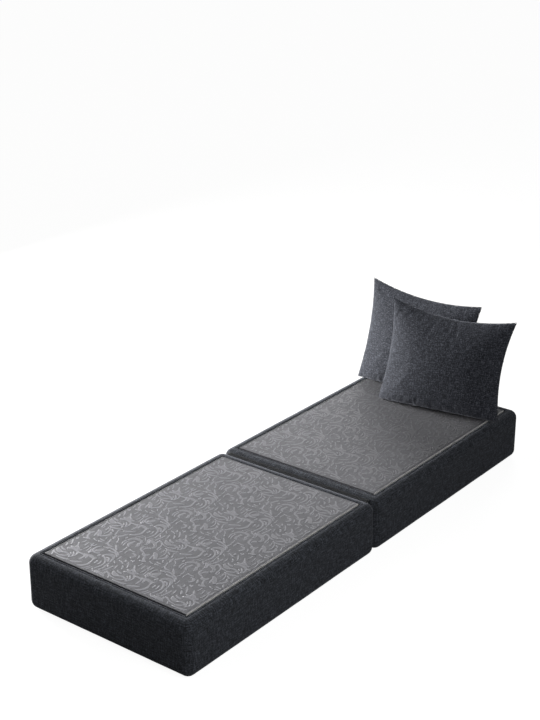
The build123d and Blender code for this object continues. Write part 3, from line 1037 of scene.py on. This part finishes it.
def pillow_outline(spec, count, inset):
    """Points round the pillow's seam, drawn in a little, from the lower left corner."""
    shares = [2 * index / count - 1 for index in range(count)]
    places = [(share, -1.0) for share in shares] + [(1.0, share) for share in shares]
    places += [(-share, 1.0) for share in shares] + [(-1.0, -share) for share in shares]
    points = []
    for across, up in places:
        inward = Vector((-across * abs(across) ** 8, 0, -up * abs(up) ** 8))
        points.append(pillow_point(spec, across, up, 0.0, 1) + inward * inset)
    return points


def pillow_form(spec):
    """Face and back of a pillow as one closed mesh, in the pillow's own upright space."""
    across_steps, up_steps = 56, 44
    points, faces = [], []
    for side, crown in zip((-1, 1), spec["crowns"]):
        faces += grid_faces(len(points), up_steps, across_steps)
        for row in range(up_steps + 1):
            up = math.sin(math.pi / 2 * (2 * row / up_steps - 1))
            for column in range(across_steps + 1):
                across = math.sin(math.pi / 2 * (2 * column / across_steps - 1))
                points.append(pillow_point(spec, across, up, crown, side))
    return face_outwards(mesh_of(points, faces), merge=1e-5)


def seam_finder(points):
    """Finds the nearest place on a seam."""
    tree = KDTree(len(points))
    for index, point in enumerate(points):
        tree.insert(point, index)
    tree.balance()
    return tree


def simulate(piece, spec, seam):
    """Blow the pillow's cloth up a little under pressure, held at its seam, and keep the result."""
    scene = bpy.context.scene
    remesh = piece.modifiers.new("even", "REMESH")
    remesh.mode = "VOXEL"
    remesh.voxel_size = 0.005
    mesh = apply_modifiers(piece)
    start = [vertex.co.copy() for vertex in mesh.vertices]
    held = piece.vertex_groups.new(name="seam")
    for vertex in mesh.vertices:
        grip = 1 - seam.find(vertex.co)[2] / 0.016
        if grip > 0:
            held.add([vertex.index], grip, "REPLACE")
    cloth = piece.modifiers.new("cloth", "CLOTH")
    settings = cloth.settings
    settings.quality = 5
    settings.mass = 0.3
    settings.tension_stiffness = 12
    settings.compression_stiffness = 12
    settings.shear_stiffness = 4
    settings.bending_stiffness = 2.5
    settings.use_pressure = True
    settings.uniform_pressure_force = 4
    settings.shrink_min = -0.02
    settings.vertex_group_mass = "seam"
    settings.effector_weights.gravity = 0
    cloth.point_cache.frame_start = 1
    cloth.point_cache.frame_end = 20
    for number in range(1, 21):
        scene.frame_set(number)
    mesh = apply_modifiers(piece)
    scene.frame_set(1)
    cap = 0.012
    height = sizes().pillow_height
    for vertex, before in zip(mesh.vertices, start):
        moved = vertex.co - before
        share = min(1.0, cap / max(cap, moved.length))
        share *= 0.6 - 0.35 * min(1.0, max(0.0, before.z / height))
        vertex.co = before + moved * share
    for side, crown in zip((-1, 1), spec["crowns"]):
        peak = max(side * vertex.co.y for vertex in mesh.vertices)
        for vertex in mesh.vertices:
            if side * vertex.co.y > 0:
                vertex.co.y *= crown / peak


def gather(mesh, seed, seam):
    """Gathers along the lower seam, which takes the pillow's weight, and slack all over the cloth."""
    size = sizes()
    seam_length = 2 * (size.pillow_width + size.pillow_height)
    normals = [vertex.normal.copy() for vertex in mesh.vertices]
    for vertex, normal in zip(mesh.vertices, normals):
        place = vertex.co
        _, index, distance = seam.find(place)
        along = index * seam_length / (4 * SEAM_STEPS)
        strength = 0.45 if index < SEAM_STEPS else 0.0
        wander = 0.35 * noise.noise(Vector((along / 0.09, seed, distance / 0.05)))
        turn = along / size.pucker_pitch + wander
        across = (turn - math.floor(turn) - 0.5) * size.pucker_pitch
        each = 0.45 + 0.55 * noise.noise(Vector((math.floor(turn) * 3.7, seed + 2, 0)))
        groove = math.exp(-((across / 0.005) ** 2)) - 0.35 * math.exp(-((across / 0.012) ** 2))
        groove *= math.exp(-distance / 0.028) * max(0.0, each)
        groove *= strength * min(1.0, distance / 0.004)
        soft = noise.noise(Vector((along / 0.05, seed + 5, distance / 0.09))) * math.exp(-distance / 0.05)
        slack = noise.noise(place * 8 + Vector((seed, seed, 0))) * (1 - math.exp(-distance / 0.03))
        vertex.co = place + normal * (0.0012 * soft + 0.0018 * slack - size.pucker_depth * groove)


def standing(spec):
    """The turn and lean that bring a pillow from its own upright space to where it stands."""
    return (
        Matrix.Translation((spec["left"], spec["along"], 0))
        @ Matrix.Rotation(math.radians(spec["turn"]), 4, "Z")
        @ Matrix.Translation((sizes().pillow_width / 2, 0, 0))
        @ Matrix.Rotation(math.radians(-spec["lean"]), 4, "X")
    )


def cloth_map_on_pillow(mesh, spec):
    """Lay the weave across and up each face of a pillow, with the extra length of its rounded sides."""
    places = []
    for vertex in mesh.vertices:
        x, y, z = vertex.co
        across = max(-1.0, min(1.0, 2 * x / sizes().pillow_width))
        low, high = drawn_edges(spec, across)
        up = max(-1.0, min(1.0, 2 * (z - low) / (high - low) - 1))
        across = max(-1.0, min(1.0, x / half_width(spec, up, x < 0)))
        bulge_across, bulge_up, settled = bulges(across, up)
        depth = 0.8 * spec["crowns"][0 if y < 0 else 1]
        u = x + math.copysign(depth * bulge_up * (1 - bulge_across), across)
        v = z + math.copysign(depth * bulge_across * (1 - bulge_up), settled)
        places.append((u, v))
    cloth = mesh.uv_layers.new(name=CLOTH_MAP)
    for loop in mesh.loops:
        cloth.data[loop.index].uv = places[loop.vertex_index]


# Operators


class MakeStage(bpy.types.Operator):
    """Make the floor, the soft studio lights and the camera."""

    bl_idname = "guest_bed.make_stage"
    bl_label = "Stage"

    def execute(self, context):
        scene = context.scene
        scene.view_settings.view_transform = "Standard"
        reach = 40.0
        corners = [(-reach, -reach, 0), (reach, -reach, 0), (reach, reach, 0), (-reach, reach, 0)]
        floor = new_piece("floor", mesh_of(corners, [(0, 1, 2, 3)]))
        floor.data.materials.append(self.floor_paper())
        self.light_room(scene)
        self.place_camera(scene)
        return {"FINISHED"}

    def floor_paper(self):
        """Matt studio paper. The camera sees it near white, and it still takes the bed's shadow."""
        made = bpy.data.materials.new("matt_studio_paper")
        tree = empty_tree(made)
        fibres = add(tree, "ShaderNodeTexNoise", {"Scale": 3.0, "Detail": 4.0})
        pale = colour("floor")
        stops = [(0.3, tinted(pale, 0.97)), (0.7, pale)]
        shade = add(tree, "ShaderNodeValToRGB", {"Fac": fibres}, stops=stops)
        matt = add(tree, "ShaderNodeBsdfDiffuse", {"Color": shade})
        seen = add(tree, "ShaderNodeLightPath").outputs["Is Camera Ray"]
        bright = add(tree, "ShaderNodeMath", {0: seen, 1: 0.93}, operation="MULTIPLY")
        glow = add(tree, "ShaderNodeEmission", {"Strength": bright})
        both = add(tree, "ShaderNodeAddShader", {0: matt, 1: glow})
        add(tree, "ShaderNodeOutputMaterial", {"Surface": both})
        return made

    def light_room(self, scene):
        """A pale room that the camera sees near white, with soft windows round the bed."""
        scene.world = scene.world or bpy.data.worlds.new("room")
        tree = empty_tree(scene.world)
        seen = add(tree, "ShaderNodeLightPath").outputs["Is Camera Ray"]
        bright = add(tree, "ShaderNodeMath", {0: seen, 1: 0.93, 2: 0.055}, operation="MULTIPLY_ADD")
        sky = add(tree, "ShaderNodeBackground", {"Color": linear("#fafbfd"), "Strength": bright})
        add(tree, "ShaderNodeOutputWorld", {"Surface": sky})
        lamp = bpy.data.lights.new("back_window", "SUN")
        lamp.angle = math.radians(30)
        lamp.energy = 0.85
        towards = Vector((-0.45, 0.78, 0.42))
        self.hang(scene, lamp, towards * 6, -towards)
        windows = (
            ("left_window", 1.5, 206.0, Vector((-3.0, 0.15, 0.95)), Vector((0.0, 0.1, 0.15))),
            ("front_fill", 1.0, 6.2, Vector((-0.6, -2.9, 2.2)), Vector((0.0, -1.0, 0.1))),
            ("right_fill", 1.2, 28.0, Vector((2.5, -1.1, 1.9)), Vector((0.35, -0.3, 0.1))),
        )
        for name, size, power, place, target in windows:
            lamp = bpy.data.lights.new(name, "AREA")
            lamp.shape = "SQUARE"
            lamp.size = size
            lamp.energy = power
            self.hang(scene, lamp, place, target - place)

    def hang(self, scene, lamp, place, facing):
        holder = bpy.data.objects.new(lamp.name, lamp)
        scene.collection.objects.link(holder)
        turn = facing.to_track_quat("-Z", "Y").to_matrix().to_4x4()
        holder.matrix_world = Matrix.Translation(place) @ turn

    def place_camera(self, scene):
        lens = bpy.data.cameras.new("photo_camera")
        lens.sensor_fit = "AUTO"
        lens.sensor_width = 36.0
        lens.lens = 74.73
        lens.clip_end = 200.0
        camera = bpy.data.objects.new("photo_camera", lens)
        scene.collection.objects.link(camera)
        turn = Matrix.Rotation(math.radians(37.914), 4, "Z")
        tilt = Matrix.Rotation(math.radians(90 - 22.144), 4, "X")
        camera.matrix_world = Matrix.Translation((2.8856, -3.8606, 2.6062)) @ (turn @ tilt)
        scene.camera = camera


class MakeCovers(bpy.types.Operator):
    """Make the linen covers: side bands with soft rounded edges, and the underside panels."""

    bl_idname = "guest_bed.make_covers"
    bl_label = "Linen covers"

    def execute(self, context):
        size = sizes()
        low, high = box_of("side_band")
        half_slot, slot_bottom, slot_top = slot_of_zip()
        shares = cover_shares(low, high, half_slot), even_shares(84)

        def in_slot(centre):
            near = centre.y < low.y + 0.001
            return near and abs(centre.x) < half_slot and slot_bottom < centre.z < slot_top

        for seed, block in enumerate(BLOCKS, 1):
            rings = cover_rings(low, high)
            mesh = wrapped_form(low, high, rings, *shares, 10, closed=False, gap=in_slot)
            sink(mesh, size.slack, seed)
            piece = block_piece(block, "cover", mesh, "cover_linen")
            wall = piece.modifiers.new("wall", "SOLIDIFY")
            wall.thickness = size.cloth
            wall.offset = -1.0
            smooth(apply_modifiers(piece))
            settle(piece, block + "_block", "linen", block + "_side_band", fill=0.95)
            self.make_underside(block, seed)
        return {"FINISHED"}

    def make_underside(self, block, seed):
        """The flat linen panel under a block, a little slack between its stitched edges."""
        low, high = box_of("base_cloth")
        corner = sizes().lip_corner
        rise = high.z - low.z
        rings = [
            (0.012, high.z, 0.0),
            (0.0005, high.z, corner),
            (0.0, high.z - rise * 0.3, corner),
            (0.0004, low.z + rise * 0.25, corner),
            (0.0014, low.z, corner),
            (0.012, low.z, 0.0),
        ]
        mesh = wrapped_form(low, high, rings, even_shares(48), even_shares(72), 8)
        for vertex in mesh.vertices:
            if abs(vertex.co.z - low.z) < 1e-6:
                lift = 0.5 + 0.5 * noise.noise(vertex.co * 8 + Vector((seed, 0, 0)))
                vertex.co.z += 0.0005 * lift
        piece = block_piece(block, "underside", mesh, "cover_linen")
        settle(piece, block + "_block", "linen", block + "_base_cloth")


class MakeFoam(bpy.types.Operator):
    """Make the two foam layers inside each cover."""

    bl_idname = "guest_bed.make_foam"
    bl_label = "Foam layers"
    slider_room = (0.089, 0.101)

    def execute(self, context):
        layers = (
            ("base_foam", self.base_rings(), "firm_polyurethane_foam", "foam"),
            ("comfort_foam", self.comfort_rings(), "soft_polyurethane_foam", "comfort_foam"),
        )
        for block in BLOCKS:
            for layer, rings, finish, slot in layers:
                low, high = box_of(layer)
                mesh = wrapped_form(low, high, rings, even_shares(40), even_shares(40), 5)
                if layer == "base_foam":
                    self.cut_pocket(mesh, low)
                piece = block_piece(block, layer + "_core", mesh, finish)
                settle(piece, block + "_block", slot, f"{block}_{layer}", fill=1.0)
        return {"FINISHED"}

    def rounded(self, radius, height, rise):
        """Rings of a rounded foam edge, whose corners never close to a point."""
        rings = rounding(radius, height, rise, 6)
        return [(inset, level, max(0.004, radius - inset)) for inset, level in rings]

    def base_rings(self):
        """The firm foam's rings from below, with close ones where its pocket is cut."""
        low, high = box_of("base_foam")
        pocket_low, pocket_high = box_of("zip_tapes")
        radius = sizes().edge_radius - sizes().cloth
        heights = [0.05, pocket_low.z - 0.0012, pocket_low.z - 0.0006]
        heights += [edge + step for edge in self.slider_room for step in (-0.0005, 0.0005)]
        heights += [pocket_high.z + 0.0006, pocket_high.z + 0.0012, 0.13, high.z]
        rings = [(0.05, low.z, 0.0), (radius, low.z, 0.004)]
        rings += reversed(self.rounded(radius, low.z + radius, -radius))
        return rings + [(0.0, height, radius) for height in heights] + [(0.05, high.z, 0.0)]

    def comfort_rings(self):
        """The soft foam's rings from below, ending in the recess for the panel."""
        low, high = box_of("comfort_foam")
        radius = sizes().edge_radius - sizes().cloth
        rim = sizes().lip_inset - 2 * sizes().cloth
        floor = border_floor() - 0.0012
        rings = [(0.05, low.z, 0.0), (0.0, low.z, radius)]
        rings += self.rounded(radius, high.z - radius, radius)
        return rings + [(rim - 0.0004, high.z, 0.006), (rim, floor, 0.006), (rim + 0.03, floor, 0.0)]

    def cut_pocket(self, mesh, low):
        """Push the near face in behind the zip: a little for its tapes, deeper for its slider."""
        pocket_low, pocket_high = box_of("zip_tapes")
        slider_back = box_of("zip_slider")[1].y
        for vertex in mesh.vertices:
            place = vertex.co
            if place.y > low.y + 0.002 or abs(place.x) > pocket_high.x + 0.002:
                continue
            if pocket_low.z - 0.0008 < place.z < pocket_high.z + 0.0008:
                place.y = pocket_high.y + 0.0004
            if self.slider_room[0] < place.z < self.slider_room[1]:
                place.y = slider_back + 0.0012


class MakePanels(bpy.types.Operator):
    """Make the sleeping panels: rolled hem, ticking and damask figure."""

    bl_idname = "guest_bed.make_panels"
    bl_label = "Sleeping panels"

    def execute(self, context):
        low, high = box_of("top_panel")
        corner, roll = 0.004, sizes().hem_roll
        rings = [
            (0.03, low.z + 0.0003, 0.0),
            (0.0004, low.z + 0.0003, corner),
            (0.0, low.z + 0.001, corner),
            (0.0, low.z + 0.003, corner),
            (0.0, high.z - roll - 0.0006, corner),
        ]
        for inset, height in rounding(roll, high.z - roll, roll, 6):
            rings.append((inset, height, max(corner - inset, 0.0005)))
        for inset in (0.0038, 0.0052, 0.0061, 0.007, 0.0079, 0.0088, 0.0105, 0.014, 0.02, 0.03):
            rings.append((inset, high.z, 0.0))
        for block in BLOCKS:
            mesh = wrapped_form(low, high, rings, even_shares(60), even_shares(90), 5)
            for vertex in mesh.vertices:
                if vertex.co.z > high.z - 1e-5:
                    vertex.co.z += panel_height(vertex.co.x, vertex.co.y, low, high)
            piece = block_piece(block, "ticking", mesh, "twill_ticking")
            # The pale binding goes on the left and right sides only: partly real binding, partly a
            # painted highlight where the light catches the rolled hem.
            mesh.materials.append(material("satin_binding"))
            for face in mesh.polygons:
                side = min(face.center.x - low.x, high.x - face.center.x)
                if side < sizes().binding and face.center.z > low.z + roll / 2:
                    face.material_index = 1
            covered = (block + "_top_panel", block + "_panel_wadding")
            settle(piece, block + "_block", "jacquard", *covered, fill=0.9)
            self.make_figure(block, low, high)
        return {"FINISHED"}

    def make_figure(self, block, low, high):
        """Repeat the figure over a panel and cut it off at the hem. It runs on from block to block."""
        across, along = sizes().repeat_across, sizes().repeat_along
        columns, rows = 4, 6
        piece = new_piece(block + "_figure", figure_mesh())
        counts = {"Columns": columns, "Rows": rows}
        repeats = {"Repeat_Across": across, "Repeat_Along": along}
        mesh = grow(piece, "damask_repeat", "satin_figure", **counts, **repeats)
        left, back, near, far = -0.3 - across, high.y + 0.13, low.y, high.y
        if block == "foot":
            back, near, far = along - 0.05, -high.y, -low.y
        shift = (left + (columns - 1) / 2 * across, back - (rows - 1) / 2 * along, 0)
        mesh.transform(Matrix.Translation(shift))
        hem = sizes().hem_width + 0.0012
        cut_to_panel(mesh, low.x + hem, high.x - hem, near + hem, far - hem)
        for vertex in mesh.vertices:
            y = -vertex.co.y if block == "foot" else vertex.co.y
            vertex.co.z += high.z + panel_height(vertex.co.x, y, low, high)
        settle(piece, block + "_block", "jacquard")


class MakeWelts(bpy.types.Operator):
    """Make the covered cord that runs round each border."""

    bl_idname = "guest_bed.make_welts"
    bl_label = "Welts"

    def execute(self, context):
        low, high = box_of("welt")
        radius = sizes().welt_radius
        corner = sizes().lip_corner - radius
        places = outline(low, high, radius, corner, even_shares(60), even_shares(90), 6)
        loop = [Vector((x, y, (low.z + high.z) / 2)) for x, y in places]
        for block in BLOCKS:
            if block == "foot":
                loop = mirrored(reversed(loop))
            piece = new_piece(block + "_welt_cord", path_mesh([loop]))
            grow(piece, "covered_cord", "welt_linen", Radius=radius, Step=0.004, Unevenness=0.0005)
            settle(piece, block + "_block", "welt_cord", block + "_welt")
        return {"FINISHED"}


class MakeStitches(bpy.types.Operator):
    """Make the visible stitching of hems, undersides and zips."""

    bl_idname = "guest_bed.make_stitches"
    bl_label = "Stitching"

    def round_path(self, node, inset, height):
        """A nearly square path round a flat node, that far in from its edge."""
        low, high = box_of(node)
        places = outline(low, high, inset, 0.002, [-1.0, 1.0], [-1.0, 1.0], 3)
        return [Vector((x, y, height)) for x, y in places]

    def execute(self, context):
        size = sizes()
        half_slot, slot_bottom, slot_top = slot_of_zip()
        room = 0.004
        near = box_of("side_band")[0].y + 0.0005
        hem = self.round_path("top_panel", size.hem_width, box_of("top_panel")[1].z - 0.0006)
        base = self.round_path("base_cloth", 0.006, box_of("base_cloth")[0].z + 0.0002)
        zip_rows = []
        for height in (slot_bottom - room, slot_top + room):
            zip_rows.append([Vector((side * (half_slot + room), near, height)) for side in (-1, 1)])
        rows = (
            ("hem_stitches", "ticking_thread", "jacquard", [hem]),
            ("underside_stitches", "cover_thread", "linen", [base]),
            ("zip_stitches", "cover_thread", "linen", zip_rows),
        )
        stitch = {
            "Pitch": size.stitch_pitch,
            "Stitch_Length": size.stitch_length,
            "Thread_Radius": size.thread_radius,
        }
        for block in BLOCKS:
            for name, thread, slot, loops in rows:
                if block == "foot":
                    loops = [mirrored(loop) for loop in loops]
                paths = path_mesh(loops, closed=name != "zip_stitches")
                piece = new_piece(f"{block}_{name}", paths)
                grow(piece, "stitches", thread, **stitch)
                settle(piece, block + "_block", slot)
        return {"FINISHED"}


class MakeHinge(bpy.types.Operator):
    """Make the black tape that joins the blocks in the groove between them."""

    bl_idname = "guest_bed.make_hinge"
    bl_label = "Hinge tape"

    def execute(self, context):
        low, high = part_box("hinge_strip")
        fold = next(joint for joint in frame["joints"] if joint["name"] == "fold")
        axis_height = fold["pos_m"][2]
        outer = math.hypot(high.y, high.z - axis_height)
        half_turn = math.atan2(high.y, axis_height - high.z)
        thickness = 0.0012
        near_axis = 0.0075
        steps, columns = 36, 80
        points, faces = [], []
        for column in range(columns + 1):
            x = low.x + (high.x - low.x) * column / columns
            for layer in (0, 1):
                for step in range(steps + 1):
                    share = 2 * step / steps - 1
                    angle = share * half_turn
                    radius = near_axis + (outer - near_axis) * abs(share) ** 1.6
                    radius -= layer * thickness
                    radius += 0.0003 * noise.noise(Vector((x * 25, share * 1.5, 2.0)))
                    y, z = radius * math.sin(angle), axis_height - radius * math.cos(angle)
                    points.append(Vector((x, y, z)))
        row = steps + 1
        ring = list(range(row)) + [row + step for step in reversed(range(row))]
        around = len(ring)
        for column in range(columns):
            base = column * around
            for first, second in zip(ring, ring[1:] + ring[:1]):
                faces.append((base + first, base + second, base + around + second, base + around + first))
        for column in (0, columns):
            faces += grid_faces(column * around, 1, steps)
        mesh = face_outwards(mesh_of(points, faces))
        smooth(mesh)
        piece = new_piece("hinge_tape", mesh, "black_ribbed_tape")
        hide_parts("hinge_strip")
        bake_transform(piece)
        return {"FINISHED"}


class MakePillows(bpy.types.Operator):
    """Make the two pillows, blown up by a cloth simulation, with their gathered seams."""

    bl_idname = "guest_bed.make_pillows"
    bl_label = "Pillows"

    def execute(self, context):
        size = sizes()
        panel = box_of("top_panel")[1]
        clearance = 0.0009
        for name, spec in PILLOWS.items():
            body = name + "_pillow"
            seam = seam_finder(pillow_outline(spec, SEAM_STEPS, 0.0))
            piece = new_piece(body + "_cushion", pillow_form(spec))
            simulate(piece, spec, seam)
            finer = piece.modifiers.new("finer", "SUBSURF")
            finer.levels = 1
            finer.render_levels = 1
            apply_modifiers(piece)
            mesh = piece.data
            gather(mesh, spec["seed"], seam)
            cloth_map_on_pillow(mesh, spec)
            smooth(mesh)
            mesh.materials.append(material("pillow_linen"))
            turn = standing(spec)
            placed = [turn @ vertex.co for vertex in mesh.vertices]
            lowest = min(place.z for place in placed if abs(place.x) < panel.x)
            lift = Matrix.Translation((0, 0, panel.z + clearance - lowest)) @ turn
            mesh.transform(lift)
            piece.vertex_groups.clear()
            closed = pillow_outline(spec, SEAM_STEPS // 2, size.seam_radius)
            rim = new_piece(body + "_seam", path_mesh([closed]))
            cord = {"Radius": size.seam_radius, "Step": 0.005, "Unevenness": 0.0006}
            grow(rim, "covered_cord", "welt_linen", **cord).transform(lift)
            covered = [f"{body}_{part}" for part in ("face_cover", "back_cover", "filling", "zip")]
            settle(piece, body, "linen", *covered, fill=0.75)
            settle(rim, body, "linen")
        return {"FINISHED"}


class FinishTrims(bpy.types.Operator):
    """Give the tapes, teeth and sliders that come from the frame their own materials."""

    bl_idname = "guest_bed.finish_trims"
    bl_label = "Tapes and zips"

    def execute(self, context):
        finishes = {
            "flange_tape": "black_ribbed_tape",
            "zip_tapes": "black_ribbed_tape",
            "zip_chain": "moulded_nylon",
            "zip_slider": "painted_zinc",
        }
        for block in BLOCKS:
            for part, finish in finishes.items():
                node = frame["nodes"][f"{block}_{part}"]
                for slot in node.material_slots:
                    slot.link = "OBJECT"
                    slot.material = material(finish)
                if not node.material_slots:
                    node.data.materials.append(material(finish))
        return {"FINISHED"}


class GUEST_BED_PT_pieces(bpy.types.Panel):
    """Lists the bed's operators, sizes and colours."""

    bl_idname = "GUEST_BED_PT_pieces"
    bl_label = "Guest Bed"
    bl_space_type = "VIEW_3D"
    bl_region_type = "UI"
    bl_category = "Guest Bed"

    def draw(self, context):
        layout = self.layout
        for step in STEPS:
            layout.operator(step.bl_idname)
        for group in (context.scene.bed_sizes, context.scene.bed_colours):
            box = layout.box()
            for name in group.__annotations__:
                box.prop(group, name)


STEPS = (
    MakeStage,
    MakeCovers,
    MakeFoam,
    MakePanels,
    MakeWelts,
    MakeStitches,
    MakeHinge,
    MakePillows,
    FinishTrims,
)
CLASSES = (BedSizes, BedColours, *STEPS, GUEST_BED_PT_pieces)


def register():
    for kind in CLASSES:
        bpy.utils.register_class(kind)
    bpy.types.Scene.bed_sizes = bpy.props.PointerProperty(type=BedSizes)
    bpy.types.Scene.bed_colours = bpy.props.PointerProperty(type=BedColours)


def unregister():
    del bpy.types.Scene.bed_colours
    del bpy.types.Scene.bed_sizes
    for kind in reversed(CLASSES):
        bpy.utils.unregister_class(kind)


def main():
    """Make every piece in order."""
    register()
    for step in STEPS:
        group, name = step.bl_idname.split(".")
        getattr(getattr(bpy.ops, group), name)()


if __name__ == "__main__":
    main()
